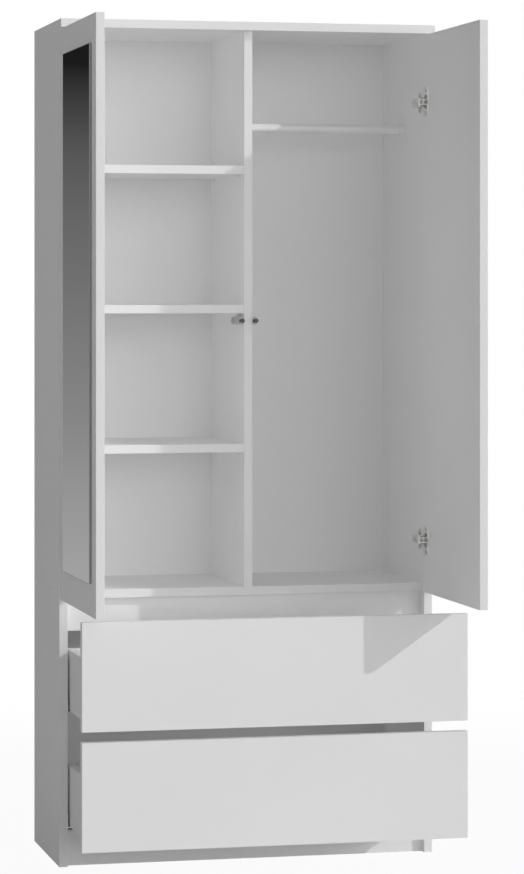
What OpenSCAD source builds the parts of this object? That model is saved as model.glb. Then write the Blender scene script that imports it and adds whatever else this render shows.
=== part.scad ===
// Two-door wardrobe with a mirror, open shelves, a hanging rail and two drawers.
// White laminated board on a two-part carcass: a drawer base with an upper cabinet standing on it.
// Millimetres, +Z up. The origin is on the floor, in the middle of the width, at the rear face,
// so -Y is the front. The doors are drawn open at a right angle and the drawers pulled out.

/* [Overall] */
// Width over the side panels
wardrobe_w = 823; // [720:1:900]
// Height from the floor to the top of the top panel
wardrobe_h = 1800; // [1700:10:2000]
// Depth from the wall to the front edges of the side panels
carcass_depth = 331; // [315:1:420]
// Thickness of the laminated boards
board_t = 18; // [16:0.5:19]
// Thickness of the hardboard back panels
back_t = 3; // [2.5:0.5:4]
// Radius of the banded edges
edge_r = 0.5; // [0.5:0.1:1.5]

/* [Drawer base] */
// Height of the drawer base, up to the top of its middle panel
base_h = 586; // [575:1:640]
// Height of the kick rail
kick_h = 75; // [60:1:77]
// Kick rail behind the front edges of the sides
kick_setback = 16; // [10:1:24]
// Middle panel behind the front edges of the sides
middle_setback = 12; // [4:1:16]
// Height of the rail above the drawers
rail_h = 70; // [50:1:90]
// Drawer rail behind the front edges of the sides
rail_setback = 30; // [18:1:40]

/* [Inside] */
// Distance between the middles of neighbouring shelves
shelf_pitch = 299; // [260:1:320]
// Side play of a loose shelf
shelf_play = 0.5; // [0.3:0.1:1]
// Diameter of the shelf pins
pin_d = 5; // [4:0.5:6]
// Diameter of the hanging rod
rod_d = 20; // [18:1:25]
// Wall of the rod tube
rod_wall = 1.2; // [1:0.1:2]
// Rod axis below the top panel
rod_drop = 200; // [120:5:240]
// Rod axis behind the front edges of the sides
rod_setback = 168; // [140:2:190]

/* [Doors] */
// Gap between the doors and the top panel
door_top_gap = 2.5; // [1.5:0.5:4]
// Bottom edge of the doors below the top of the middle panel
door_lap = 18; // [16:1:21]
// Edge of a shut door inside the outer side face
door_reveal = 1; // [0.5:0.1:1.5]
// Gap between the two shut doors
middle_gap = 2; // [2:0.5:4]
// Gap between a shut door and the front edges of the carcass
shut_gap = 3.5; // [3.3:0.1:3.7]
// Gap between the open door's hinge edge and the front of the side panel
open_gap = 4.5; // [4.3:0.1:4.8]
// Outer face of the open door inside the outer side face
open_inset = 2.7; // [2.2:0.1:3]
// Radius of the doors' upright edges
door_r = 1; // [0.8:0.1:2]

/* [Mirror] */
// Width of the mirror glass
mirror_w = 311; // [240:1:320]
// Height of the mirror glass
mirror_h = 1087; // [900:1:1120]
// Mirror glass from the door's hinge edge
mirror_edge = 51; // [40:1:80]
// Mirror glass below the door's top edge
mirror_top = 58; // [40:1:80]
// Thickness of the mirror glass
mirror_t = 4; // [3:0.5:5]
// Thickness of the adhesive strips behind the mirror
tape_t = 1; // [0.8:0.1:1.5]

/* [Hinges] */
// Hinge axis from each end of the door: top
hinge_top = 146; // [90:1:180]
// Hinge axis from each end of the door: bottom
hinge_bottom = 113; // [90:1:180]
// Diameter of the hinge cup
cup_d = 35; // [35:0.1:35.5]
// Depth of the hinge cup
cup_depth = 12.5; // [12.3:0.1:12.8]
// Wall of the cup, its flange and its floor
cup_wall = 1.2; // [1:0.1:1.3]
// Edge of the cup from the hinge edge of the door
cup_edge = 4; // [4:0.1:4.3]
// Diameter of the hinge pins
hinge_pin_d = 1.6; // [1.4:0.1:1.7]
// Radial clearance of a link's eye on its pin
eye_play = 0.1; // [0.05:0.01:0.1]
// Clearance of a pin in a link's slot, and between the links
slot_play = 0.3; // [0.25:0.05:0.35]

/* [Push latches] */
// Top of the latches below the underside of the centre shelf
latch_drop = 7.5; // [7.5:0.5:30]
// Length of a latch housing
latch_l = 70; // [60:1:80]
// Height of a latch housing
latch_h = 17; // [16:1:24]
// Width of a latch housing
latch_w = 12; // [11:0.5:14]
// Diameter of the latch plunger
plunger_d = 8; // [6:0.5:8]
// Travel of the latch plunger
plunger_travel = 14; // [10:1:16]

/* [Drawers] */
// Finger gap between the doors and the upper drawer front
door_finger_gap = 22; // [15:1:25]
// Bottom edge of the lower drawer front
front_z = 76; // [72:1:78]
// Finger gap between the drawer fronts
front_gap = 22; // [15:1:25]
// Gap between a shut drawer front and the carcass
drawer_gap = 2; // [1:0.5:3]
// How far the drawers stand pulled out
drawer_out = 247; // [0:1:260]
// Height of the drawer sides
drawer_side_h = 129; // [105:1:150]
// Thickness of the drawer sides and back
drawer_side_t = 16; // [15:0.5:16]
// Length of the drawer sides
drawer_side_l = 290; // [260:5:300]
// Gap between a drawer side and the side panel
drawer_side_gap = 5; // [4:0.5:6]
// Drawer sides above the bottom edge of the front
drawer_lift = 9; // [4:1:12]
// Thickness of the drawer bottom
drawer_bottom_t = 3; // [2.5:0.5:4]
// Drawer bottom above the lower edge of the drawer sides
bottom_recess = 13; // [13:0.5:15]
// Thickness of the runner profiles
runner_t = 1.5; // [1.2:0.1:1.6]

/* [Fasteners] */
// Diameter of the wooden dowels
dowel_d = 8; // [6:1:8]
// Length of the wooden dowels
dowel_l = 30; // [25:1:34]
// Diameter of the cam locks
cam_d = 15; // [12:1:15]
// Depth of the cam locks
cam_depth = 12.5; // [10:0.5:13]
// Diameter of the carcass screws
carcass_screw_d = 5; // [5:0.5:7]
// Length of the carcass screws
carcass_screw_l = 50; // [40:1:60]

/* [Hidden] */
$fn = 48;

// Colours
white_board = "white";
white_paint = "whitesmoke";
nickel = "silver";
dark_plastic = "dimgray";
beech = "burlywood";

// A cut runs this far past the face it opens
over = 1;

// Carcass planes
x_out = wardrobe_w / 2;
x_in = x_out - board_t;
y_front = -carcass_depth;
y_back = -back_t;
top_z = wardrobe_h - board_t;
divider_half = board_t / 2;
kick_y = y_front + kick_setback;
rail_y = y_front + rail_setback;
middle_y = y_front + middle_setback;
middle_z = base_h - board_t;
base_panel_z = kick_h - board_t;

// Width of the chamfers where two boards meet on the outer faces
seam_w = 1;

// Joints between the boards
joint_inset = 60;
joint_ys = [y_front + joint_inset, y_back - joint_inset];
cam_inset = 34;
cam_shift = 32;
dowel_in_side = 10;
side_mid_x = x_out - board_t / 2;
rail_dowel_inset = 18;

// Shelves, evenly spaced about the middle of the opening
opening_mid_z = (base_h + top_z) / 2;
shelf_front_y = y_front;
shelf_back_y = y_back - shelf_play;
pin_l = 16;
pin_in_board = 8;
pin_collar_d = 7;
pin_collar_t = 1.5;
pin_collar_drop = 1.2;
pin_inset = 37;

// Hanging rod
rod_y = y_front + rod_setback;
rod_z = top_z - rod_drop;
socket_wall = 2.5;
socket_d = rod_d + 2 * socket_wall;
socket_l = 8;
socket_base = 2;
rod_fit = 0.1;

// Doors: the pivot is the one point that carries the open door to its shut place
door_w = x_out - door_reveal - middle_gap / 2;
door_z = base_h - door_lap;
door_h = top_z - door_top_gap - door_z;
door_face_x = open_inset + board_t;
pivot_x = (door_reveal - open_gap + shut_gap + door_face_x) / 2;
pivot_y = -(open_gap + shut_gap + door_face_x - door_reveal) / 2;
pivot = [pivot_x, pivot_y];
hinge_zs = [door_z + hinge_bottom, door_z + door_h - hinge_top];

// Hinge linkage, seen from above, measured from the side panel's outer face and front edge
cup_r = cup_d / 2;
cup_u = cup_edge + cup_r;
bowl_r = cup_r - cup_wall;
outer_pin_in = 13;
outer_pin_front = 9.6;
inner_pin_in = 9;
arm_outer_pin = [board_t + outer_pin_in, -outer_pin_front];
arm_inner_pin = [board_t + inner_pin_in, 0];
outer_swing_r = 6.5;
inner_swing_r = 2;
cup_outer_pin = cup_pin(arm_outer_pin, outer_swing_r);
cup_inner_pin = cup_pin(arm_inner_pin, inner_swing_r);
arm_pin_d = 2.4;
eye_wall = 1.2;
inner_link_half = 3.5;
link_bar_half = 1.1;
outer_plate_in = 4.2;
outer_plate_t = 1.6;
outer_plate_half = 2.2;
link_web_gap = 0.3;
cheek_in = 7.3;
cheek_t = 1.7;
nose_r = 3.1;
arm_back = 46;
arm_web_start = 5;
arm_floor = 3;
arm_web_x = 11.3;
plate_t = 2;
plate_wing_r = 6;
plate_y = 28;
plate_hole_z = 16;
boss_half = 6.8;
boss_front = 13;
boss_back = 43;
adjust_y = 19;
clamp_y = 37;
flange_r = 8;
flange_hole_z = 24;
flange_shift = 6;
rim_w = 1.5;
rim_r = cup_r + rim_w;

// Small screws
small_screw_d = 4;
small_screw_l = 12;
small_head_d = 8;
small_head_t = 1.6;
cup_screw_l = 11;
clamp_screw_l = 6;
latch_screw_l = 18;

// Push latches
latch_z = opening_mid_z - board_t / 2 - latch_drop - latch_h / 2;
latch_setback = 2.5;
latch_slope = 4;
latch_slope_h = 4;
plunger_x = latch_w / 2;
plunger_play = 0.1;
plunger_inside = 20;
plunger_cap_d = 10;
plunger_cap_l = 4;
plunger_tip_d = 6;
strike_d = 18;
strike_t = 1;
strike_gap = 0.2;
plunger_tip_y = -(shut_gap - strike_t - strike_gap) - plunger_travel;
latch_screw_ys = [48, 62];

// Drawers
box_x = x_in - drawer_side_gap;
box_in_x = box_x - drawer_side_t;
box_front_y = y_front - drawer_gap - drawer_out;
box_back_y = box_front_y + drawer_side_l;
front_w = wardrobe_w - 2 * door_reveal;
front_h = (door_z - door_finger_gap - front_gap - front_z) / 2;
lower_front_z = front_z;
upper_front_z = front_z + front_h + front_gap;
side_groove = 6;
front_groove = 8;
groove_play = 0.2;

// Runner profiles: each one slides over the next, about a common middle
rail_inset = 12;
rail_mid_x = box_in_x - rail_inset;
rib_half = runner_t;
rail_play = 0.3;
middle_half = rib_half + rail_play + runner_t;
drawer_rail_half = middle_half + rail_play + runner_t;
runner_flange_h = 30;
runner_drop = 3;
runner_l = 285;
runner_front = 3;
rail_foot = 2;
runner_hole_ys = [37, 229];

// Back panel nails
nail_d = 2;
nail_l = 22;
nail_pitch = 150;
nail_end = 40;

// Where a pin of the cup sits so that its link is the same length with the door open and shut
function cup_pin(arm_pin, swing_r) =
    let (towards = arm_pin - pivot, angle = atan2(towards.y, towards.x) - 45)
    pivot + swing_r * [cos(angle), sin(angle)];

// A block between two corners
module slab(lo, hi) {
    translate(lo) cube(hi - lo);
}

// A flat bar with round ends, between two points; its sides cross the round ends just inside them
bar_lap = 0.002;

module capsule(p, q, r) {
    along = q - p;
    half = r - bar_lap;
    translate(p) rotate(atan2(along.y, along.x)) translate([0, -half])
        square([norm(along), 2 * half]);
    for (c = [p, q]) translate(c) circle(r);
}

// A board's section, w by d, with its two front corners rounded
module edged_section(w, d, r) {
    translate([r, 0]) square([w - 2 * r, d]);
    translate([0, r]) square([w, d - r]);
    for (x = [r, w - r]) translate([x, r]) circle(r);
}

// A door or drawer front's section, with all four corners rounded
module rounded_section(w, d, r) {
    translate([r, 0]) square([w - 2 * r, d]);
    translate([0, r]) square([w, d - 2 * r]);
    for (x = [r, w - r], y = [r, d - r]) translate([x, y]) circle(r);
}

// An upright board from its front left bottom corner
module upright_board(at, d, h) {
    translate(at) linear_extrude(h) edged_section(board_t, d, edge_r);
}

// A lying board, its banded edge to the front
module lying_board(x0, x1, y0, y1, z) {
    translate([x0, y0, z + board_t]) rotate([90, 0, 90]) linear_extrude(x1 - x0)
        rotate(-90) edged_section(board_t, y1 - y0, edge_r);
}

// A bar of square section along Y, stood on its edge: it takes the corner off two meeting boards
module seam_bar(x, z) {
    translate([x, y_front - over, z]) rotate([0, 45, 0])
        slab([-seam_w / 2, 0, -seam_w / 2], [seam_w / 2, carcass_depth + over, seam_w / 2]);
}

module seams() {
    both_sides() for (z = [base_h, top_z]) seam_bar(-x_out, z);
}

module both_sides() {
    children();
    mirror([1, 0, 0]) children();
}

module rod_x(at, d, l) {
    translate(at) rotate([0, 90, 0]) cylinder(d = d, h = l);
}

module rod_y(at, d, l) {
    translate(at) rotate([-90, 0, 0]) cylinder(d = d, h = l);
}

module rod_up(at, d, l) {
    translate(at) cylinder(d = d, h = l);
}

// ---- Joints of the carcass ----

// Dowels along X, on the left side of the carcass: [y, z]
function left_dowel_spots() = [
    for (y = joint_ys) [y, middle_z + board_t / 2],
    for (y = joint_ys) [y, base_panel_z + board_t / 2],
    for (z = [rail_dowel_inset, base_panel_z - rail_dowel_inset]) [kick_y + board_t / 2, z],
    for (z = [middle_z - rail_h + rail_dowel_inset, middle_z - rail_dowel_inset])
        [rail_y + board_t / 2, z]
];

// Dowels that stand upright: [x, z of the joint]
function upright_dowel_spots() = [
    [-side_mid_x, base_h], [side_mid_x, base_h], [0, base_h]
];

module dowel_set() {
    both_sides() for (s = left_dowel_spots())
        rod_x([-x_in - dowel_in_side, s[0], s[1]], dowel_d, dowel_l);
    for (s = upright_dowel_spots(), y = joint_ys)
        rod_up([s[0], y, s[1] - dowel_in_side], dowel_d, dowel_l);
}

// Cam locks under the middle and base panels: [z of the panel's underside]
cam_panels = [middle_z, base_panel_z];
cam_bolt_d = 6;
cam_ys = [joint_ys[0] + cam_shift, joint_ys[1] - cam_shift];
cam_bolt_in_side = 11;
cam_slot = 1.2;

module cam_set() {
    both_sides() for (z = cam_panels, y = cam_ys) {
        rod_up([-x_in + cam_inset, y, z], cam_d, cam_depth);
        rod_x([-x_in - cam_bolt_in_side, y, z + board_t / 2], cam_bolt_d,
              cam_bolt_in_side + cam_inset);
    }
}

// Screws through the top panel into the sides and the divider
module carcass_screw_set() {
    for (x = [-side_mid_x, 0, side_mid_x], y = joint_ys)
        rod_up([x, y, wardrobe_h - carcass_screw_l], carcass_screw_d, carcass_screw_l);
}

module nail_set() {
    upper_count = floor((top_z - base_h - 2 * nail_end) / nail_pitch);
    lower_count = floor((base_h - 2 * nail_end) / nail_pitch);
    both_sides() {
        for (i = [0 : upper_count])
            rod_y([side_mid_x, -nail_l, base_h + nail_end + i * nail_pitch], nail_d, nail_l);
        for (i = [0 : lower_count])
            rod_y([side_mid_x, -nail_l, nail_end + i * nail_pitch], nail_d, nail_l);
    }
}

// ---- Carcass boards ----

module lower_side() {
    difference() {
        upright_board([-x_out, y_front, 0], carcass_depth - back_t, base_h);
        seams();
        dowel_set();
        cam_set();
        nail_set();
        cabinet_screw_set();
    }
}

module lower_left_side() {
    color(white_board) lower_side();
}

module lower_right_side() {
    color(white_board) mirror([1, 0, 0]) lower_side();
}

module base_panel() {
    color(white_board) difference() {
        slab([-x_in, kick_y + board_t, base_panel_z], [x_in, y_back, kick_h]);
        dowel_set();
        cam_set();
    }
}

module kick_rail() {
    color(white_board) difference() {
        slab([-x_in, kick_y, 0], [x_in, kick_y + board_t, kick_h]);
        dowel_set();
    }
}

module drawer_rail() {
    color(white_board) difference() {
        slab([-x_in, rail_y, middle_z - rail_h], [x_in, rail_y + board_t, middle_z]);
        dowel_set();
    }
}

module middle_panel() {
    color(white_board) difference() {
        lying_board(-x_in, x_in, middle_y, y_back, middle_z);
        dowel_set();
        cam_set();
    }
}

module lower_back_panel() {
    color(white_board) difference() {
        slab([-x_out + edge_r, y_back, 0], [x_out - edge_r, 0, base_h]);
        nail_set();
    }
}

module upper_side_board() {
    upright_board([-x_out, y_front, base_h], carcass_depth - back_t, top_z - base_h);
}

module upper_side_cuts() {
    seams();
    dowel_set();
    carcass_screw_set();
    nail_set();
    cabinet_screw_set();
}

module upper_left_side() {
    color(white_board) difference() {
        upper_side_board();
        upper_side_cuts();
        shelf_pin_holes();
    }
}

module upper_right_side() {
    color(white_board) difference() {
        mirror([1, 0, 0]) upper_side_board();
        upper_side_cuts();
    }
}

module top_panel() {
    color(white_board) difference() {
        lying_board(-x_out, x_out, y_front - shut_gap - board_t, y_back, top_z);
        seams();
        carcass_screw_set();
    }
}

module divider() {
    color(white_board) difference() {
        upright_board([-divider_half, y_front, base_h], carcass_depth - back_t, top_z - base_h);
        dowel_set();
        carcass_screw_set();
        cabinet_screw_set();
        shelf_pin_holes();
    }
}

module upper_back_panel() {
    color(white_board) difference() {
        slab([-x_out + edge_r, y_back, base_h], [x_out - edge_r, 0, wardrobe_h - edge_r]);
        nail_set();
    }
}

// ---- Shelves ----

// Underside of a shelf, counted from the centre one
function shelf_under(step) = opening_mid_z - board_t / 2 + step * shelf_pitch;

module shelf(step) {
    color(white_board)
        lying_board(-x_in + shelf_play, -divider_half - shelf_play, shelf_front_y, shelf_back_y,
                    shelf_under(step));
}

module upper_shelf() {
    shelf(1);
}

module centre_shelf() {
    shelf(0);
}

module lower_shelf() {
    shelf(-1);
}

// Pins along X under each shelf's corners: [x of the board's face, direction into the board]
module at_shelf_pins() {
    for (step = [-1 : 1], y = [y_front + pin_inset, y_back - pin_inset])
        translate([0, y, shelf_under(step) - pin_d / 2]) children();
}

module shelf_pin_holes() {
    at_shelf_pins() {
        rod_x([-x_in - pin_in_board, 0, 0], pin_d, pin_in_board + over);
        rod_x([-divider_half - over, 0, 0], pin_d, pin_in_board + over);
    }
}

// A pin whose top is the shelf's seat, with a collar that stays below the seat
module shelf_pin() {
    rod_x([-pin_in_board, 0, 0], pin_d, pin_l);
    rod_x([0, 0, -pin_collar_drop], pin_collar_d, pin_collar_t);
}

module shelf_pins() {
    color(nickel) at_shelf_pins() {
        translate([-x_in, 0, 0]) shelf_pin();
        translate([-divider_half, 0, 0]) mirror([1, 0, 0]) shelf_pin();
    }
}

// ---- Hanging rod ----

module hanging_rod() {
    length = x_in - divider_half - 2 * socket_base;
    color(white_paint) difference() {
        rod_x([divider_half + socket_base, rod_y, rod_z], rod_d, length);
        rod_x([divider_half + socket_base - over, rod_y, rod_z], rod_d - 2 * rod_wall,
              length + 2 * over);
    }
}

// A round plastic cup screwed to the board, which holds the end of the rod
module rod_socket() {
    difference() {
        rod_x([0, 0, 0], socket_d, socket_l);
        rod_x([socket_base, 0, 0], rod_d + 2 * rod_fit, socket_l);
        rod_x([-over, 0, 0], small_screw_d, socket_base + 2 * over);
    }
}

module rod_sockets() {
    color(white_paint) {
        translate([divider_half, rod_y, rod_z]) rod_socket();
        translate([x_in, rod_y, rod_z]) mirror([1, 0, 0]) rod_socket();
    }
}

// ---- Hinges ----

// The left side's frame: x from the outer face, y from the front edge
module at_left_side() {
    translate([-x_out, y_front, 0]) children();
}

module at_hinges() {
    for (z = hinge_zs) translate([0, 0, z]) children();
}

// A layer of a hinge, from one height to another, on both sides of its middle
module twin_layer(z0, z1) {
    for (z = [z0, -z1]) translate([0, 0, z]) linear_extrude(z1 - z0) children();
}

module hinge_plate() {
    difference() {
        union() {
            translate([board_t, plate_y, 0]) rotate([90, 0, 90]) linear_extrude(plate_t)
                capsule([0, -plate_hole_z], [0, plate_hole_z], plate_wing_r);
            translate([board_t, 0, -boss_half])
                slab([0, boss_front, 0], [arm_web_x, boss_back, 2 * boss_half]);
        }
        for (z = [-plate_hole_z, plate_hole_z])
            rod_x([board_t - over, plate_y, z], small_screw_d, plate_t + 2 * over);
        for (y = [adjust_y, clamp_y])
            rod_x([board_t + plate_t, y, 0], small_screw_d, arm_web_x);
    }
}

module hinge_plates() {
    color(nickel) both_sides() at_left_side() at_hinges() hinge_plate();
}

// The arm's cheek: straight over the plate, with a nose that carries the two link pins
module arm_cheek() {
    translate([board_t + arm_floor, arm_web_start])
        square([arm_web_x + cheek_t - arm_floor, arm_back - arm_web_start]);
    capsule(arm_inner_pin, arm_inner_pin + [0, arm_web_start + nose_r], nose_r);
    capsule(arm_inner_pin, arm_outer_pin, nose_r);
}

module hinge_arm() {
    difference() {
        union() {
            twin_layer(cheek_in, cheek_in + cheek_t) arm_cheek();
            translate([board_t + arm_web_x, arm_web_start, -cheek_in - cheek_t])
                cube([cheek_t, arm_back - arm_web_start, 2 * (cheek_in + cheek_t)]);
            for (pin = [arm_inner_pin, arm_outer_pin])
                translate([pin.x, pin.y, -cheek_in - over])
                    cylinder(d = arm_pin_d, h = 2 * (cheek_in + over));
        }
        for (y = [adjust_y, clamp_y])
            rod_x([board_t + arm_web_x - over, y, 0], small_screw_d, cheek_t + 2 * over);
    }
}

module hinge_arms() {
    color(nickel) both_sides() at_left_side() at_hinges() hinge_arm();
}

// The outer link: two plates joined by a web at the arm's end, forked at the cup's end
fork_in = 2.6;
fork_out = 1;
fork_swing = 0.25;
fork_half = hinge_pin_d / 2 + slot_play + fork_swing;

module outer_link() {
    along = cup_outer_pin - arm_outer_pin;
    turn = atan2(along.y, along.x);
    eye_r = arm_pin_d / 2 + eye_play + eye_wall;
    outer_half = outer_plate_in + outer_plate_t;
    twin_layer(outer_plate_in, outer_half) difference() {
        union() {
            translate(arm_outer_pin) rotate(turn)
                translate([-eye_r - link_web_gap, -outer_plate_half])
                square([eye_r + link_web_gap + norm(along) + fork_out, 2 * outer_plate_half]);
            translate(arm_outer_pin) circle(eye_r);
        }
        translate(arm_outer_pin) circle(d = arm_pin_d + 2 * eye_play);
        translate(cup_outer_pin) rotate(turn) translate([-fork_in - fork_half, -fork_half])
            square([fork_in + fork_out + 2 * fork_half, 2 * fork_half]);
    }
    translate(concat(arm_outer_pin, 0)) rotate(turn)
        translate([-eye_r - link_web_gap, -outer_plate_half, -outer_half])
            cube([eye_wall, 2 * outer_plate_half, 2 * outer_half]);
}

// The inner link: a bent bar that passes over the rim of the cup
inner_slot = 0.8;
elbow_in = 7.4;
elbow_front = 9.6;
knee_in = 4.5;
inner_elbow = [board_t + elbow_in, -elbow_front];
inner_knee = [board_t + knee_in, cup_inner_pin.y];

module inner_link() {
    eye_r = arm_pin_d / 2 + eye_play + eye_wall;
    toward_arm = (arm_inner_pin - cup_inner_pin) / norm(arm_inner_pin - cup_inner_pin);
    linear_extrude(2 * inner_link_half, center = true) difference() {
        union() {
            translate(arm_inner_pin) circle(eye_r);
            translate(cup_inner_pin) circle(hinge_pin_d / 2 + slot_play + eye_wall);
            capsule(arm_inner_pin, inner_elbow, link_bar_half);
            capsule(inner_elbow, inner_knee, link_bar_half);
            capsule(inner_knee, cup_inner_pin, link_bar_half);
        }
        translate(arm_inner_pin) circle(d = arm_pin_d + 2 * eye_play);
        capsule(cup_inner_pin, cup_inner_pin + toward_arm * inner_slot,
                hinge_pin_d / 2 + slot_play);
    }
}

module left_outer_links() {
    color(nickel) at_left_side() at_hinges() outer_link();
}

module right_outer_links() {
    color(nickel) mirror([1, 0, 0]) at_left_side() at_hinges() outer_link();
}

module left_inner_links() {
    color(nickel) at_left_side() at_hinges() inner_link();
}

module right_inner_links() {
    color(nickel) mirror([1, 0, 0]) at_left_side() at_hinges() inner_link();
}

// ---- Doors ----

// The left door's frame: x from its hinge edge, y out of its inner face
module at_left_door() {
    translate([-x_out + door_face_x, y_front - open_gap, 0]) rotate([0, 0, -90]) children();
}

module door_board() {
    difference() {
        translate([0, -board_t, door_z]) linear_extrude(door_h)
            rounded_section(door_w, board_t, door_r);
        at_hinges() {
            rod_y([cup_u, -cup_depth, 0], cup_d, cup_depth + over);
            cup_screws();
        }
    }
}

module left_door_panel() {
    color(white_board) at_left_door() door_board();
}

module right_door_panel() {
    color(white_board) mirror([1, 0, 0]) at_left_door() door_board();
}

// A cup pin: half its length between the bowl's walls, so its ends sit in them
function pin_reach(pin) =
    let (off_middle = open_gap + cup_u + pin.y + hinge_pin_d / 2)
    sqrt(cup_r * cup_r - off_middle * off_middle) - cup_wall / 4;

// The cup with its flange: a plate with round corners, wide enough for the two screws
flange_half = flange_hole_z + flange_r;
flange_edge = cup_edge - rim_w;
flange_w = cup_u + flange_shift + flange_r - flange_edge;

module hinge_cup() {
    difference() {
        union() {
            rod_y([cup_u, -cup_depth, 0], cup_d, cup_depth);
            rotate([-90, 0, 0]) linear_extrude(cup_wall) {
                translate([flange_edge, -flange_half])
                    rounded_section(flange_w, 2 * flange_half, flange_r);
                intersection() {
                    translate([cup_u, 0]) circle(rim_r);
                    translate([cup_u, -rim_r - over]) square(2 * (rim_r + over));
                }
            }
        }
        rod_y([cup_u, -cup_depth + cup_wall, 0], 2 * bowl_r, cup_depth + over);
        for (z = [-flange_hole_z, flange_hole_z])
            rod_y([cup_u + flange_shift, -over, z], small_screw_d, cup_wall + 2 * over);
    }
}

// The two pins of a cup, in the side panel's frame: the outer one in two stubs that leave the middle free
module cup_pins() {
    outer_reach = pin_reach(cup_outer_pin);
    inner_reach = pin_reach(cup_inner_pin);
    stub_from = inner_link_half + slot_play;
    for (z = [stub_from, -outer_reach]) translate([cup_outer_pin.x, cup_outer_pin.y, z])
        cylinder(d = hinge_pin_d, h = outer_reach - stub_from);
    translate([cup_inner_pin.x, cup_inner_pin.y, -inner_reach])
        cylinder(d = hinge_pin_d, h = 2 * inner_reach);
}

module hinge_cups() {
    at_left_door() at_hinges() hinge_cup();
    at_left_side() at_hinges() cup_pins();
}

module left_hinge_cups() {
    color(nickel) hinge_cups();
}

module right_hinge_cups() {
    color(nickel) mirror([1, 0, 0]) hinge_cups();
}

// A pan-head screw along -Y, its head standing on y = 0
module small_screw(l) {
    rod_y([0, -l, 0], small_screw_d, l);
    difference() {
        rod_y([0, 0, 0], small_head_d, small_head_t);
        for (turn = [0, 90]) rotate([0, turn, 0])
            slab([-small_head_d / 4, small_head_t / 2, -small_head_t / 4],
                 [small_head_d / 4, small_head_t + over, small_head_t / 4]);
    }
}

module cup_screws() {
    for (z = [-flange_hole_z, flange_hole_z])
        translate([cup_u + flange_shift, cup_wall, z]) small_screw(cup_screw_l);
}

module left_cup_screws() {
    color(nickel) at_left_door() at_hinges() cup_screws();
}

module right_cup_screws() {
    color(nickel) mirror([1, 0, 0]) at_left_door() at_hinges() cup_screws();
}

// The steel disc that meets the latch's magnet
module strike_plate() {
    strike_u = x_out - door_reveal - divider_half - plunger_x;
    rod_y([strike_u, 0, latch_z], strike_d, strike_t);
}

module left_strike_plate() {
    color(nickel) at_left_door() strike_plate();
}

module right_strike_plate() {
    color(nickel) mirror([1, 0, 0]) at_left_door() strike_plate();
}

// ---- Mirror ----

mirror_z = door_z + door_h - mirror_top - mirror_h;
mirror_face = -board_t - tape_t - mirror_t;
tape_w = 20;
tape_inset = 15;
tape_gap = 60;

module mirror_glass() {
    color("lightsteelblue") at_left_door()
        slab([mirror_edge, mirror_face, mirror_z],
             [mirror_edge + mirror_w, mirror_face + mirror_t, mirror_z + mirror_h]);
}

// Upright strips of foam tape that hold the glass on the door
module mirror_tape() {
    strips = floor((mirror_w - 2 * tape_inset - tape_w) / (tape_w + tape_gap));
    step = (mirror_w - 2 * tape_inset - tape_w) / strips;
    color(dark_plastic) at_left_door() for (i = [0 : strips])
        translate([mirror_edge + tape_inset + i * step, -board_t - tape_t, mirror_z + tape_inset])
            cube([tape_w, tape_t, mirror_h - 2 * tape_inset]);
}

// ---- Push latches ----

// The left latch's frame: x from the divider's left face towards the left, y from the front
module at_left_latch() {
    translate([-divider_half, y_front, latch_z]) mirror([1, 0, 0]) children();
}

module latch_housing() {
    half = latch_h / 2;
    difference() {
        translate([0, latch_setback + latch_l, 0]) rotate([90, 0, 0]) linear_extrude(latch_l)
            polygon([[0, -half], [latch_w - latch_slope, -half],
                     [latch_w, -half + latch_slope_h], [latch_w, half - latch_slope_h],
                     [latch_w - latch_slope, half], [0, half]]);
        rod_y([plunger_x, latch_setback - over, 0], plunger_d + 2 * plunger_play,
              plunger_inside + plunger_travel + 2 * over);
        for (y = latch_screw_ys)
            rod_x([-over, y, 0], small_screw_d, latch_w + 2 * over);
    }
}

module latch_housings() {
    color(dark_plastic) both_sides() at_left_latch() latch_housing();
}

// A round rod with a tapered magnet cap on its tip, drawn sprung out
module latch_plunger() {
    translate([plunger_x, plunger_tip_y, 0]) rotate([-90, 0, 0])
        cylinder(d1 = plunger_tip_d, d2 = plunger_cap_d, h = plunger_cap_l);
    rod_y([plunger_x, plunger_tip_y, 0], plunger_d,
          latch_setback + plunger_inside - plunger_tip_y);
}

module left_latch_plunger() {
    color(nickel) at_left_latch() latch_plunger();
}

module right_latch_plunger() {
    color(nickel) mirror([1, 0, 0]) at_left_latch() latch_plunger();
}

// ---- Screws in the cabinet ----

// A screw along -X from the point under its head
module screw_x(at, l) {
    translate(at) rotate([0, 0, -90]) small_screw(l);
}

module cabinet_screw_set() {
    both_sides() {
        at_left_side() at_hinges() {
            for (z = [-plate_hole_z, plate_hole_z])
                screw_x([board_t + plate_t, plate_y, z], small_screw_l);
            for (y = [adjust_y, clamp_y])
                screw_x([board_t + arm_web_x + cheek_t, y, 0], clamp_screw_l);
        }
        at_left_side() for (z = [lower_front_z, upper_front_z], y = runner_hole_ys)
            screw_x([board_t + runner_t, y, z + drawer_lift + runner_flange_h / 2],
                    small_screw_l);
        at_left_latch() for (y = latch_screw_ys)
            screw_x([latch_w, y, 0], latch_screw_l);
    }
    translate([0, rod_y, rod_z]) {
        screw_x([divider_half + socket_base, 0, 0], small_screw_l);
        mirror([1, 0, 0]) screw_x([-x_in + socket_base, 0, 0], small_screw_l);
    }
}

module cabinet_screws() {
    color(nickel) cabinet_screw_set();
}

// ---- Fasteners of the carcass ----

module cam_locks() {
    color(nickel) difference() {
        cam_set();
        for (z = cam_panels) both_sides()
            for (y = cam_ys, turn = [0, 90])
                translate([-x_in + cam_inset, y, z]) rotate(turn)
                    slab([-cam_d / 3, -cam_slot, -over], [cam_d / 3, cam_slot, cam_slot]);
    }
}

module dowels() {
    color(beech) dowel_set();
}

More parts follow.
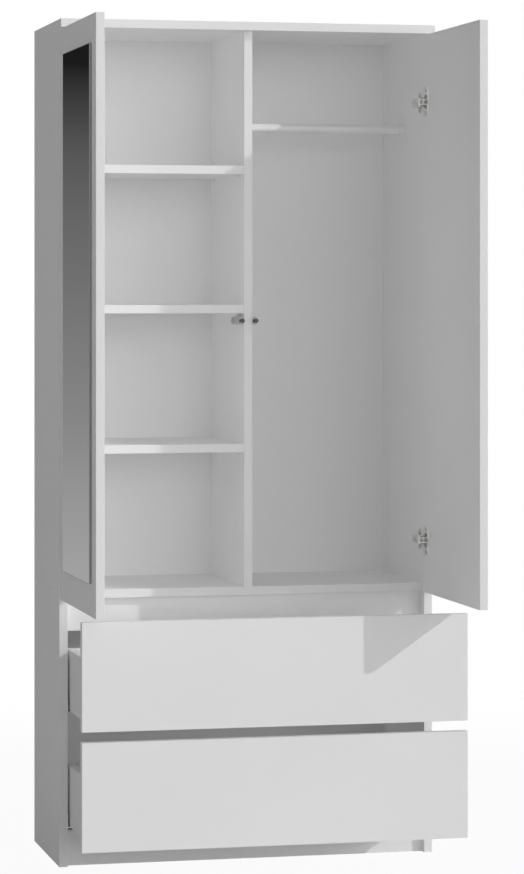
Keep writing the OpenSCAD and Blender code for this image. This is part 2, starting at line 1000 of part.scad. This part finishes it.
module carcass_screws() {
    color(nickel) carcass_screw_set();
}

module back_panel_nails() {
    color(nickel) nail_set();
}

// ---- Drawers ----

module drawer_front(z) {
    color(white_board) difference() {
        translate([-front_w / 2, box_front_y - board_t, z]) linear_extrude(front_h)
            rounded_section(front_w, board_t, edge_r);
        drawer_bottom_slab(z, groove_play);
        drawer_fitting_set(z);
    }
}

// The bottom panel, in grooves of the sides and the front, under the back
module drawer_bottom_slab(z, play) {
    bottom = z + drawer_lift + bottom_recess;
    slab([-box_in_x - side_groove - play, box_front_y - front_groove - play, bottom],
         [box_in_x + side_groove + play, box_back_y + play, bottom + drawer_bottom_t]);
}

module drawer_side(z) {
    difference() {
        slab([-box_x, box_front_y, z + drawer_lift],
             [-box_in_x, box_back_y, z + drawer_lift + drawer_side_h]);
        drawer_bottom_slab(z, groove_play);
        drawer_fitting_set(z);
    }
}

module drawer_back(z) {
    bottom = z + drawer_lift + bottom_recess + drawer_bottom_t;
    color(white_board) difference() {
        slab([-box_in_x, box_back_y - drawer_side_t, bottom],
             [box_in_x, box_back_y, z + drawer_lift + drawer_side_h]);
        drawer_fitting_set(z);
    }
}

// Dowels into the front and screws into the back
drawer_dowel_in_front = 12;
drawer_dowel_zs = [40, 96];
drawer_screw_l = 45;

module drawer_fitting_set(z) {
    base = z + drawer_lift;
    both_sides() for (up = drawer_dowel_zs) {
        rod_y([-box_x + drawer_side_t / 2, box_front_y - drawer_dowel_in_front, base + up],
              dowel_d, dowel_l);
        rod_x([-box_x, box_back_y - drawer_side_t / 2, base + up], small_screw_d, drawer_screw_l);
    }
}

module drawer_fittings(z) {
    color(nickel) drawer_fitting_set(z);
}

module upper_drawer_front() {
    drawer_front(upper_front_z);
}

module lower_drawer_front() {
    drawer_front(lower_front_z);
}

module upper_drawer_left_side() {
    color(white_board) drawer_side(upper_front_z);
}

module lower_drawer_left_side() {
    color(white_board) drawer_side(lower_front_z);
}

module upper_drawer_right_side() {
    color(white_board) mirror([1, 0, 0]) drawer_side(upper_front_z);
}

module lower_drawer_right_side() {
    color(white_board) mirror([1, 0, 0]) drawer_side(lower_front_z);
}

module upper_drawer_back() {
    drawer_back(upper_front_z);
}

module lower_drawer_back() {
    drawer_back(lower_front_z);
}

module upper_drawer_bottom() {
    color(white_board) drawer_bottom_slab(upper_front_z, 0);
}

module lower_drawer_bottom() {
    color(white_board) drawer_bottom_slab(lower_front_z, 0);
}

module upper_drawer_fittings() {
    drawer_fittings(upper_front_z);
}

module lower_drawer_fittings() {
    drawer_fittings(lower_front_z);
}

// ---- Drawer runners: a fixed rib, a middle rail over it and a rail under the drawer ----

rib_top = bottom_recess - 2 * (runner_t + rail_play);

// An upright channel, open downwards, from x = -half to half
module channel_section(half, foot, top) {
    difference() {
        translate([-half, foot]) square([2 * half, top - foot]);
        translate([-half + runner_t, foot - over])
            square([2 * (half - runner_t), top - foot + over - runner_t]);
    }
}

// A left runner profile, extruded from its front towards the back
module left_profile(front_y, z) {
    translate([-rail_mid_x, front_y + runner_l, z + drawer_lift]) rotate([90, 0, 0])
        linear_extrude(runner_l) children();
}

// The fixed profile: a flange on the side, a web under the drawer and the rib
module cabinet_runner(z) {
    reach = x_in - rail_mid_x;
    difference() {
        left_profile(y_front + runner_front, z) {
            translate([-reach, -runner_drop]) square([runner_t, runner_flange_h]);
            translate([-reach, -runner_drop]) square([reach + middle_half, runner_t]);
            translate([-rib_half / 2, -runner_drop]) square([rib_half, rib_top + runner_drop]);
        }
        for (y = runner_hole_ys)
            rod_x([-x_in - over, y_front + y, z + drawer_lift + runner_flange_h / 2],
                  small_screw_d, runner_t + 2 * over);
    }
}

module cabinet_runners(z) {
    color(nickel) both_sides() cabinet_runner(z);
}

module middle_rails(z) {
    color(nickel) both_sides() left_profile(y_front + runner_front - drawer_out / 2, z)
        channel_section(middle_half, rail_foot, rib_top + rail_play + runner_t);
}

module drawer_runners(z) {
    color(nickel) both_sides() left_profile(y_front + runner_front - drawer_out, z)
        channel_section(drawer_rail_half, rail_foot, bottom_recess);
}

module upper_cabinet_runners() {
    cabinet_runners(upper_front_z);
}

module lower_cabinet_runners() {
    cabinet_runners(lower_front_z);
}

module upper_middle_rails() {
    middle_rails(upper_front_z);
}

module lower_middle_rails() {
    middle_rails(lower_front_z);
}

module upper_drawer_runners() {
    drawer_runners(upper_front_z);
}

module lower_drawer_runners() {
    drawer_runners(lower_front_z);
}

lower_left_side();
lower_right_side();
base_panel();
kick_rail();
drawer_rail();
middle_panel();
lower_back_panel();
upper_left_side();
upper_right_side();
top_panel();
divider();
upper_shelf();
centre_shelf();
lower_shelf();
upper_back_panel();
hanging_rod();
rod_sockets();
shelf_pins();
hinge_plates();
hinge_arms();
cabinet_screws();
latch_housings();
upper_cabinet_runners();
lower_cabinet_runners();
cam_locks();
dowels();
carcass_screws();
back_panel_nails();
left_door_panel();
mirror_glass();
mirror_tape();
left_hinge_cups();
left_cup_screws();
left_strike_plate();
right_door_panel();
right_hinge_cups();
right_cup_screws();
right_strike_plate();
left_outer_links();
left_inner_links();
right_outer_links();
right_inner_links();
left_latch_plunger();
right_latch_plunger();
upper_drawer_front();
upper_drawer_left_side();
upper_drawer_right_side();
upper_drawer_back();
upper_drawer_bottom();
upper_drawer_runners();
upper_drawer_fittings();
lower_drawer_front();
lower_drawer_left_side();
lower_drawer_right_side();
lower_drawer_back();
lower_drawer_bottom();
lower_drawer_runners();
lower_drawer_fittings();
upper_middle_rails();
lower_middle_rails();
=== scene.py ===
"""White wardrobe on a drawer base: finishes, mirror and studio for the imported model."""
import math

import bmesh
import bpy
from mathutils import Matrix, Vector


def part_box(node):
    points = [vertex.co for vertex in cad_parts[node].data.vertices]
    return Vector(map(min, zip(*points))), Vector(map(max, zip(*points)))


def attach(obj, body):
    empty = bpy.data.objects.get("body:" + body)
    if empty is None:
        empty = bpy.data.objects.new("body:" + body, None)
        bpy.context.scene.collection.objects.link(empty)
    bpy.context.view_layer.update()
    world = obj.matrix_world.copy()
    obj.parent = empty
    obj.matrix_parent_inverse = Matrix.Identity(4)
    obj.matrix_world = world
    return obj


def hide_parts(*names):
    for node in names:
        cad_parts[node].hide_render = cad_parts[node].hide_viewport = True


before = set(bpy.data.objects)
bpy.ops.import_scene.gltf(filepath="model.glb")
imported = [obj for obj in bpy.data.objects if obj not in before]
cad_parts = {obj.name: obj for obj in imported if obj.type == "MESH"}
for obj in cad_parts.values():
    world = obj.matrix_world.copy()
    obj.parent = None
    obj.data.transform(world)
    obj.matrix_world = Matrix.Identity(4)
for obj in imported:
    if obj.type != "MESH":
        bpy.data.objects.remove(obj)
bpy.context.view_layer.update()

# ---- Camera: a long level lens, a little left of the middle, with a shifted view ----
# Lens, place and shift come from the angles and sizes of the object as it is seen.
lens_mm = 129.718
camera_at = Vector((-1.5417, -6.9272, 1.2255))
camera_turn = -0.22452
camera_shift = (0.0341, -0.1685)
sensor_mm = 36.0

camera_data = bpy.data.cameras.new("camera")
camera_data.lens = lens_mm
camera_data.sensor_width = sensor_mm
camera_data.shift_x, camera_data.shift_y = camera_shift
camera = bpy.data.objects.new("camera", camera_data)
camera.location = camera_at
camera.rotation_euler = (math.pi / 2, 0.0, camera_turn)
bpy.context.scene.collection.objects.link(camera)
bpy.context.scene.camera = camera


# ---- Board: particle board with white melamine foil, banded edges ----
# The foil has a very fine pearl grain and a soft satin gloss. Every side, shelf, door and drawer
# board is cut from it.
laminate_white = (0.905, 0.905, 0.905, 1.0)
laminate_off_white = (0.89, 0.89, 0.89, 1.0)
foil_gloss = 0.1
foil_roughness = 0.62
foil_roughness_from, foil_roughness_to = 0.56, 0.68
pearl_per_m = 900.0
pearl_strength = 0.12
cloud_per_m = 3.0
grain_depth_m = 0.0001


def new_material(name, colour, roughness, metallic=0.0):
    """A node material with its shader; returns the material, its tree and the shader."""
    material = bpy.data.materials.new(name)
    material.use_nodes = True
    tree = material.node_tree
    shader = tree.nodes["Principled BSDF"]
    shader.inputs["Base Color"].default_value = colour
    shader.inputs["Roughness"].default_value = roughness
    shader.inputs["Metallic"].default_value = metallic
    return material, tree, shader


def object_noise(tree, per_m, detail=2.0, stretch=(1.0, 1.0, 1.0)):
    """Noise that is fixed to the piece, with so many grains to the metre."""
    place = tree.nodes.new("ShaderNodeTexCoord")
    mapping = tree.nodes.new("ShaderNodeMapping")
    mapping.inputs["Scale"].default_value = stretch
    noise = tree.nodes.new("ShaderNodeTexNoise")
    noise.inputs["Scale"].default_value = per_m
    noise.inputs["Detail"].default_value = detail
    tree.links.new(place.outputs["Object"], mapping.inputs["Vector"])
    tree.links.new(mapping.outputs["Vector"], noise.inputs["Vector"])
    return noise


def shade_between(tree, noise, low, high, low_at=0.35, high_at=0.65):
    """A ramp from one colour to another over the noise."""
    ramp = tree.nodes.new("ShaderNodeValToRGB")
    ramp.color_ramp.elements[0].position = low_at
    ramp.color_ramp.elements[0].color = low
    ramp.color_ramp.elements[1].position = high_at
    ramp.color_ramp.elements[1].color = high
    tree.links.new(noise.outputs["Fac"], ramp.inputs["Fac"])
    return ramp


def vary_roughness(tree, shader, noise, low, high):
    """Roughness that follows the noise."""
    spread = tree.nodes.new("ShaderNodeMapRange")
    spread.inputs["To Min"].default_value = low
    spread.inputs["To Max"].default_value = high
    tree.links.new(noise.outputs["Fac"], spread.inputs["Value"])
    tree.links.new(spread.outputs["Result"], shader.inputs["Roughness"])


def raise_grain(tree, shader, noise, strength, depth_m):
    """A bump of that depth from the noise."""
    bump = tree.nodes.new("ShaderNodeBump")
    bump.inputs["Strength"].default_value = strength
    bump.inputs["Distance"].default_value = depth_m
    tree.links.new(noise.outputs["Fac"], bump.inputs["Height"])
    tree.links.new(bump.outputs["Normal"], shader.inputs["Normal"])


def give(material, *names):
    """Puts the material on whole CAD nodes."""
    for name in names:
        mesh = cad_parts[name].data
        mesh.materials.clear()
        mesh.materials.append(material)


laminate, tree, shader = new_material("white_laminate", laminate_white, foil_roughness)
shader.inputs["Specular IOR Level"].default_value = foil_gloss
clouds = object_noise(tree, cloud_per_m)
ramp = shade_between(tree, clouds, laminate_off_white, laminate_white)
tree.links.new(ramp.outputs["Color"], shader.inputs["Base Color"])
pearl = object_noise(tree, pearl_per_m, detail=3.0)
vary_roughness(tree, shader, pearl, foil_roughness_from, foil_roughness_to)
raise_grain(tree, shader, pearl, pearl_strength, grain_depth_m)

give(
    laminate,
    "lower_left_side", "lower_right_side", "base_panel", "kick_rail", "drawer_rail",
    "middle_panel", "upper_left_side", "upper_right_side", "top_panel", "divider",
    "upper_shelf", "centre_shelf", "lower_shelf", "left_door_panel", "right_door_panel",
    "upper_drawer_front", "upper_drawer_left_side", "upper_drawer_right_side",
    "upper_drawer_back", "lower_drawer_front", "lower_drawer_left_side",
    "lower_drawer_right_side", "lower_drawer_back",
)

# ---- Rear panels and drawer bottoms: thin hardboard, painted white on the face that shows ----
# The paint is flatter than the foil and shows the weave of the pressed sheet a little.
paint_white = (0.885, 0.885, 0.885, 1.0)
paint_dark, paint_pale = (0.875, 0.875, 0.875, 1.0), (0.895, 0.895, 0.895, 1.0)
paint_roughness = 0.6
paint_roughness_from, paint_roughness_to = 0.52, 0.66
fibres_per_m = 500.0
fibre_strength = 0.2

hardboard, tree, shader = new_material("white_hardboard", paint_white, paint_roughness)
shader.inputs["Specular IOR Level"].default_value = foil_gloss
fibres = object_noise(tree, fibres_per_m, detail=4.0)
ramp = shade_between(tree, fibres, paint_dark, paint_pale)
tree.links.new(ramp.outputs["Color"], shader.inputs["Base Color"])
vary_roughness(tree, shader, fibres, paint_roughness_from, paint_roughness_to)
raise_grain(tree, shader, fibres, fibre_strength, grain_depth_m)
give(
    hardboard,
    "lower_back_panel", "upper_back_panel", "upper_drawer_bottom", "lower_drawer_bottom",
)

# ---- Hanging rod, its sockets and the shelf pins ----
# The rod is an enamelled steel tube that drops into moulded cups screwed to the boards. The pins
# are moulded too, and push into holes under each shelf.
fitting_white = (0.86, 0.86, 0.86, 1.0)
enamel_roughness = 0.3
enamel_roughness_from, enamel_roughness_to = 0.26, 0.36
peel_per_m = 250.0
peel_strength = 0.08
peel_depth_m = 0.0002

enamel, tree, shader = new_material("white_enamel", fitting_white, enamel_roughness)
peel = object_noise(tree, peel_per_m)
vary_roughness(tree, shader, peel, enamel_roughness_from, enamel_roughness_to)
raise_grain(tree, shader, peel, peel_strength, peel_depth_m)
give(enamel, "hanging_rod")

moulding_roughness = 0.4
moulding_roughness_from, moulding_roughness_to = 0.34, 0.46
mould_per_m = 1200.0

white_plastic, tree, shader = new_material("white_plastic", fitting_white, moulding_roughness)
mould = object_noise(tree, mould_per_m)
vary_roughness(tree, shader, mould, moulding_roughness_from, moulding_roughness_to)
give(white_plastic, "rod_sockets", "shelf_pins")

# ---- Strike plates: small steel plates, powder coated to match the doors ----
# The coat is as flat as the foil, so that they hardly show on the inside of a door.
coat_roughness = 0.6
coat_roughness_from, coat_roughness_to = 0.54, 0.66
grit_per_m = 700.0
grit_strength = 0.15

coat, tree, shader = new_material("white_powder_coat", laminate_white, coat_roughness)
shader.inputs["Specular IOR Level"].default_value = foil_gloss
grit = object_noise(tree, grit_per_m)
vary_roughness(tree, shader, grit, coat_roughness_from, coat_roughness_to)
raise_grain(tree, shader, grit, grit_strength, grain_depth_m)
give(coat, "left_strike_plate", "right_strike_plate")

# ---- Hinges: stamped steel, nickel plated ----
# Drawn marks run along the strip that the parts were stamped from. All the parts carry the same
# nickel. The cups with their flanges are painted palest and the arms a little paler than the plates
# and links: painted light that lifts the shade in the cup bowls and on the arms.
drawn_marks_per_m = 160.0
along_strip = (1.0, 1.0, 12.0)


def plated_metal(name, colour, dark, pale, roughness, spread, marks_per_m, detail=2.0,
                 stretch=(1.0, 1.0, 1.0)):
    """A metal whose colour and roughness both follow the marks in its surface."""
    material, tree, shader = new_material(name, colour, roughness, metallic=1.0)
    marks = object_noise(tree, marks_per_m, detail, stretch)
    ramp = shade_between(tree, marks, dark, pale)
    tree.links.new(ramp.outputs["Color"], shader.inputs["Base Color"])
    vary_roughness(tree, shader, marks, *spread)
    return material


nickel = plated_metal(
    "nickelled_steel", colour=(0.6, 0.595, 0.585, 1.0), dark=(0.54, 0.535, 0.525, 1.0),
    pale=(0.65, 0.645, 0.635, 1.0), roughness=0.3, spread=(0.22, 0.38),
    marks_per_m=drawn_marks_per_m, stretch=along_strip,
)
give(
    nickel,
    "hinge_plates", "left_outer_links", "right_outer_links", "left_inner_links",
    "right_inner_links",
)

# The same nickel painted paler for the arms: painted light on them.
satin_nickel_painted_lighter = plated_metal(
    "satin_nickel_painted_lighter", colour=(0.77, 0.765, 0.755, 1.0), dark=(0.74, 0.735, 0.725, 1.0),
    pale=(0.8, 0.795, 0.785, 1.0), roughness=0.5, spread=(0.42, 0.58),
    marks_per_m=drawn_marks_per_m, stretch=along_strip,
)
give(satin_nickel_painted_lighter, "hinge_arms")

# The same nickel painted palest for the cups: painted light that lifts the shade in their bowls.
dull_nickel_painted_lighter = plated_metal(
    "dull_nickel_painted_lighter", colour=(0.81, 0.805, 0.79, 1.0), dark=(0.78, 0.775, 0.76, 1.0),
    pale=(0.84, 0.835, 0.82, 1.0), roughness=0.5, spread=(0.42, 0.58),
    marks_per_m=drawn_marks_per_m, stretch=along_strip,
)
give(dull_nickel_painted_lighter, "left_hinge_cups", "right_hinge_cups")

# ---- Screws, nails and cam locks: zinc plated steel and die-cast zinc ----
# The screws and nails have a fine bright spangle, and the cast drums of the cam locks the sandy
# skin of the mould. All of them hold boards together and show little.
zinc = plated_metal(
    "zinc_plate", colour=(0.60, 0.60, 0.59, 1.0), dark=(0.5, 0.5, 0.49, 1.0),
    pale=(0.66, 0.66, 0.65, 1.0), roughness=0.4, spread=(0.3, 0.5), marks_per_m=700.0,
)
give(
    zinc,
    "cabinet_screws", "left_cup_screws", "right_cup_screws", "carcass_screws",
    "back_panel_nails", "upper_drawer_fittings", "lower_drawer_fittings",
)

cast_grey = (0.45, 0.45, 0.45, 1.0)
cast_roughness = 0.55
cast_roughness_from, cast_roughness_to = 0.45, 0.65
sand_per_m = 900.0
sand_strength = 0.3

cast_zinc, tree, shader = new_material("cast_zinc", cast_grey, cast_roughness, metallic=1.0)
sand = object_noise(tree, sand_per_m, detail=4.0)
vary_roughness(tree, shader, sand, cast_roughness_from, cast_roughness_to)
raise_grain(tree, shader, sand, sand_strength, grain_depth_m)
give(cast_zinc, "cam_locks")

# ---- Dowels: grooved beech pins, glued in ----
# They join the boards of the carcass end to face. The grain runs along each pin.
beech_mean = (0.66, 0.5, 0.33, 1.0)
beech_dark, beech_pale = (0.56, 0.4, 0.25, 1.0), (0.7, 0.54, 0.37, 1.0)
beech_roughness = 0.6
grain_per_m = 300.0
along_dowel = (0.1, 1.0, 1.0)
grain_strength = 0.3
groove_depth_m = 0.0002

beech, tree, shader = new_material("beech", beech_mean, beech_roughness)
grain = object_noise(tree, grain_per_m, detail=3.0, stretch=along_dowel)
ramp = shade_between(tree, grain, beech_dark, beech_pale)
tree.links.new(ramp.outputs["Color"], shader.inputs["Base Color"])
raise_grain(tree, shader, grain, grain_strength, groove_depth_m)
give(beech, "dowels")

# ---- Runners: roll-formed galvanised strip ----
# Each side of a drawer has three nested profiles, on the cabinet, between and under the drawer.
# They keep the dull spangle of the zinc bath.
galvanised = plated_metal(
    "galvanised_steel", colour=(0.6, 0.61, 0.62, 1.0), dark=(0.52, 0.53, 0.54, 1.0),
    pale=(0.68, 0.69, 0.7, 1.0), roughness=0.4, spread=(0.3, 0.5), marks_per_m=120.0, detail=3.0,
)
give(
    galvanised,
    "upper_cabinet_runners", "lower_cabinet_runners", "upper_middle_rails",
    "lower_middle_rails", "upper_drawer_runners", "lower_drawer_runners",
)

# ---- Push latches: moulded housings with sprung plungers ----
# The two sit back to back on the divider, one for each door. The housings are pale grey nylon
# with a fine texture, and the plungers dark and smoother.
nylon_grey = (0.56, 0.56, 0.565, 1.0)
nylon_roughness = 0.45
nylon_roughness_from, nylon_roughness_to = 0.38, 0.52
texture_per_m = 900.0
texture_strength = 0.15

grey_plastic, tree, shader = new_material("grey_plastic", nylon_grey, nylon_roughness)
mould = object_noise(tree, texture_per_m)
vary_roughness(tree, shader, mould, nylon_roughness_from, nylon_roughness_to)
raise_grain(tree, shader, mould, texture_strength, grain_depth_m)
give(grey_plastic, "latch_housings")

plunger_black = (0.065, 0.065, 0.067, 1.0)
plunger_roughness = 0.4
plunger_roughness_from, plunger_roughness_to = 0.34, 0.48

dark_plastic, tree, shader = new_material("dark_plastic", plunger_black, plunger_roughness)
mould = object_noise(tree, texture_per_m)
vary_roughness(tree, shader, mould, plunger_roughness_from, plunger_roughness_to)
give(dark_plastic, "left_latch_plunger", "right_latch_plunger")

# ---- Mirror: float glass with ground edges, silvered at the back ----
# Foam tape strips hold it on the face of the left door. The sheet stands for the CAD solid and
# has the same size, with its edges broken by the grinding.
foam_black = (0.05, 0.05, 0.05, 1.0)
foam_roughness = 0.9
cells_per_m = 1500.0
cell_strength = 0.5
cell_depth_m = 0.0003

foam, tree, shader = new_material("foam_tape", foam_black, foam_roughness)
cells = object_noise(tree, cells_per_m)
raise_grain(tree, shader, cells, cell_strength, cell_depth_m)
give(foam, "mirror_tape")

silver_pale = (0.875, 0.875, 0.875, 1.0)
silver_roughness = 0.015
silver_roughness_from, silver_roughness_to = 0.008, 0.02
wipe_marks_per_m = 6.0

silver, tree, shader = new_material("mirror_silver", silver_pale, silver_roughness, metallic=1.0)
wipe = object_noise(tree, wipe_marks_per_m)
vary_roughness(tree, shader, wipe, silver_roughness_from, silver_roughness_to)

edge_mean = (0.37, 0.39, 0.385, 1.0)
edge_dark, edge_pale = (0.34, 0.36, 0.355, 1.0), (0.4, 0.42, 0.415, 1.0)
edge_roughness = 0.3
edge_roughness_from, edge_roughness_to = 0.22, 0.36
ground_per_m = 400.0
along_edge = (1.0, 1.0, 0.05)

glass_edge, tree, shader = new_material("mirror_edge", edge_mean, edge_roughness)
ground = object_noise(tree, ground_per_m, stretch=along_edge)
ramp = shade_between(tree, ground, edge_dark, edge_pale)
tree.links.new(ramp.outputs["Color"], shader.inputs["Base Color"])
vary_roughness(tree, shader, ground, edge_roughness_from, edge_roughness_to)

edge_ground_m = 0.0006
silver_slot, edge_slot = 0, 1
flat_enough = 0.99
low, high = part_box("mirror_glass")
shape = bmesh.new()
bmesh.ops.create_cube(
    shape, size=1.0,
    matrix=Matrix.Translation((low + high) / 2) @ Matrix.Diagonal((*(high - low), 1.0)),
)
bmesh.ops.bevel(
    shape, geom=shape.edges[:], offset=edge_ground_m, affect="EDGES", segments=1,
    profile=0.5, material=-1,
)
for face in shape.faces:
    face.material_index = silver_slot if abs(face.normal.x) > flat_enough else edge_slot
mesh = bpy.data.meshes.new("mirror_sheet")
shape.to_mesh(mesh)
shape.free()
mesh.materials.append(silver)
mesh.materials.append(glass_edge)
mirror_sheet = bpy.data.objects.new("mirror_sheet", mesh)
bpy.context.scene.collection.objects.link(mirror_sheet)
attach(mirror_sheet, "left_door")
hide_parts("mirror_glass")

# ---- Studio: a pale floor, a white surround and five far lamps ----
# One sharp lamp from the upper right throws the doors' shadows, and soft ones from the front,
# the right and above fill them. The surround gives an even light and looks white.
def white_to_the_eye(tree):
    """One for what the camera sees, straight, through glass or in a gloss; nought for light."""
    paths = tree.nodes.new("ShaderNodeLightPath")
    straight = tree.nodes.new("ShaderNodeMath")
    straight.operation = "MAXIMUM"
    seen = tree.nodes.new("ShaderNodeMath")
    seen.operation = "MAXIMUM"
    tree.links.new(paths.outputs["Is Camera Ray"], straight.inputs[0])
    tree.links.new(paths.outputs["Is Transmission Ray"], straight.inputs[1])
    tree.links.new(straight.outputs["Value"], seen.inputs[0])
    tree.links.new(paths.outputs["Is Glossy Ray"], seen.inputs[1])
    return seen


floor_size_m = 60.0
floor_grey = (0.72, 0.72, 0.72, 1.0)
floor_roughness = 0.9
floor_material, tree, shader = new_material("studio_floor", floor_grey, floor_roughness)
white = tree.nodes.new("ShaderNodeEmission")
white.inputs["Strength"].default_value = 1.0
blend = tree.nodes.new("ShaderNodeMixShader")
output = tree.nodes["Material Output"]
tree.links.new(shader.outputs["BSDF"], blend.inputs[1])
tree.links.new(white.outputs["Emission"], blend.inputs[2])
tree.links.new(blend.outputs["Shader"], output.inputs["Surface"])
shader.inputs["Specular IOR Level"].default_value = 0.0
# The camera sees that much of plain white in the floor, and the shadow in the rest.
white_share_near, white_share_far = 0.945, 1.0
white_from_m, white_to_m = 0.9, 2.6
place = tree.nodes.new("ShaderNodeTexCoord")
reach = tree.nodes.new("ShaderNodeVectorMath")
reach.operation = "LENGTH"
fade = tree.nodes.new("ShaderNodeMapRange")
fade.interpolation_type = "SMOOTHSTEP"
fade.inputs["From Min"].default_value = white_from_m
fade.inputs["From Max"].default_value = white_to_m
fade.inputs["To Min"].default_value = white_share_near
fade.inputs["To Max"].default_value = white_share_far
seen = white_to_the_eye(tree)
share = tree.nodes.new("ShaderNodeMath")
share.operation = "MULTIPLY"
tree.links.new(place.outputs["Object"], reach.inputs[0])
tree.links.new(reach.outputs["Value"], fade.inputs["Value"])
tree.links.new(seen.outputs["Value"], share.inputs[0])
tree.links.new(fade.outputs["Result"], share.inputs[1])
tree.links.new(share.outputs["Value"], blend.inputs["Fac"])

shape = bmesh.new()
bmesh.ops.create_grid(shape, x_segments=1, y_segments=1, size=floor_size_m / 2)
mesh = bpy.data.meshes.new("studio_floor")
shape.to_mesh(mesh)
shape.free()
mesh.materials.append(floor_material)
floor = bpy.data.objects.new("studio_floor", mesh)
bpy.context.scene.collection.objects.link(floor)

# The mirror looks past the left of the cabinet: this glowing card, seen only in gloss, is a painted
# reflection of a wall in painted shade, darker towards the top.
card_y = 3.0
card_from, card_to = 0.0, 2.4
card_x = (-2.4, 0.6)
# Painted reflection: the card's tone by height, pale low down and dark high up.
painted_reflection_tones = [
    (0.20, 0.40), (0.318, 0.385), (0.55, 0.33), (0.80, 0.26), (1.05, 0.215), (1.26, 0.175),
    (1.45, 0.145), (1.65, 0.105), (1.80, 0.058), (1.95, 0.012), (2.2, 0.008),
]
painted_reflection_material = bpy.data.materials.new("painted_reflection_card")
painted_reflection_material.use_nodes = True
tree = painted_reflection_material.node_tree
tree.nodes.remove(tree.nodes["Principled BSDF"])
place = tree.nodes.new("ShaderNodeTexCoord")
split = tree.nodes.new("ShaderNodeSeparateXYZ")
scale = tree.nodes.new("ShaderNodeMapRange")
scale.inputs["From Min"].default_value = card_from
scale.inputs["From Max"].default_value = card_to
tones = tree.nodes.new("ShaderNodeValToRGB")
while len(tones.color_ramp.elements) < len(painted_reflection_tones):
    tones.color_ramp.elements.new(0.5)
for stop, (height, tone) in zip(tones.color_ramp.elements, painted_reflection_tones):
    stop.position = (height - card_from) / (card_to - card_from)
for stop, (height, tone) in zip(tones.color_ramp.elements, painted_reflection_tones):
    stop.color = (tone, tone, tone, 1.0)
glow = tree.nodes.new("ShaderNodeEmission")
tree.links.new(place.outputs["Object"], split.inputs["Vector"])
tree.links.new(split.outputs["Z"], scale.inputs["Value"])
tree.links.new(scale.outputs["Result"], tones.inputs["Fac"])
tree.links.new(tones.outputs["Color"], glow.inputs["Color"])
tree.links.new(glow.outputs["Emission"], tree.nodes["Material Output"].inputs["Surface"])

shape = bmesh.new()
corners = [
    shape.verts.new((x, card_y, z))
    for x, z in (
        (card_x[0], card_from), (card_x[1], card_from), (card_x[1], card_to), (card_x[0], card_to)
    )
]
shape.faces.new(corners)
mesh = bpy.data.meshes.new("painted_reflection_card")
shape.to_mesh(mesh)
shape.free()
mesh.materials.append(painted_reflection_material)
card = bpy.data.objects.new("painted_reflection_card", mesh)
bpy.context.scene.collection.objects.link(card)
card.visible_camera = False
card.visible_diffuse = False
card.visible_transmission = False
card.visible_volume_scatter = False
card.visible_shadow = False

# Light from all round, white to the camera and in reflections.
surround_strength = 0.23
world = bpy.data.worlds.new("studio")
world.use_nodes = True
bpy.context.scene.world = world
tree = world.node_tree
soft = tree.nodes["Background"]
soft.inputs["Color"].default_value = (1.0, 1.0, 1.0, 1.0)
soft.inputs["Strength"].default_value = surround_strength
plain = tree.nodes.new("ShaderNodeBackground")
plain.inputs["Color"].default_value = (1.0, 1.0, 1.0, 1.0)
plain.inputs["Strength"].default_value = 1.0
seen = white_to_the_eye(tree)
mix = tree.nodes.new("ShaderNodeMixShader")
tree.links.new(seen.outputs["Value"], mix.inputs["Fac"])
tree.links.new(soft.outputs["Background"], mix.inputs[1])
tree.links.new(plain.outputs["Background"], mix.inputs[2])
tree.links.new(mix.outputs["Shader"], tree.nodes["World Output"].inputs["Surface"])


def shine(name, towards, strength, softness_deg):
    """A far lamp that shines along a direction."""
    lamp = bpy.data.lights.new(name, "SUN")
    lamp.energy = strength
    lamp.angle = math.radians(softness_deg)
    holder = bpy.data.objects.new(name, lamp)
    holder.rotation_mode = "QUATERNION"
    holder.rotation_quaternion = Vector(towards).to_track_quat("-Z", "Y")
    bpy.context.scene.collection.objects.link(holder)


shine("key_light", (-1.41, 1.0, -0.965), 1.05, 0.6)
shine("front_light", (0.0, 1.0, -0.05), 0.37, 30.0)
shine("near_right_light", (-0.342, 0.94, -0.05), 0.43, 40.0)
shine("right_light", (-0.766, 0.643, -0.05), 0.79, 50.0)
shine("top_light", (0.0, 0.05, -1.0), 0.18, 70.0)

# A weak panel lamp at the back of the base lifts the space behind the drawer fronts.
fill_width_m, fill_height_m = 0.75, 0.5
fill_at = (0.0, -0.02, 0.3)
fill_watts = 0.13
fill_data = bpy.data.lights.new("base_fill", "AREA")
fill_data.shape = "RECTANGLE"
fill_data.size, fill_data.size_y = fill_width_m, fill_height_m
fill_data.energy = fill_watts
fill = bpy.data.objects.new("base_fill", fill_data)
fill.location = fill_at
fill.rotation_euler = (-math.pi / 2, 0.0, 0.0)
fill.visible_camera = False
fill.visible_glossy = False
bpy.context.scene.collection.objects.link(fill)

# White boards pass light on many times before it is spent, so the inside needs this many turns.
diffuse_turns = 12
bpy.context.scene.cycles.diffuse_bounces = diffuse_turns

bpy.context.scene.view_settings.view_transform = "Standard"
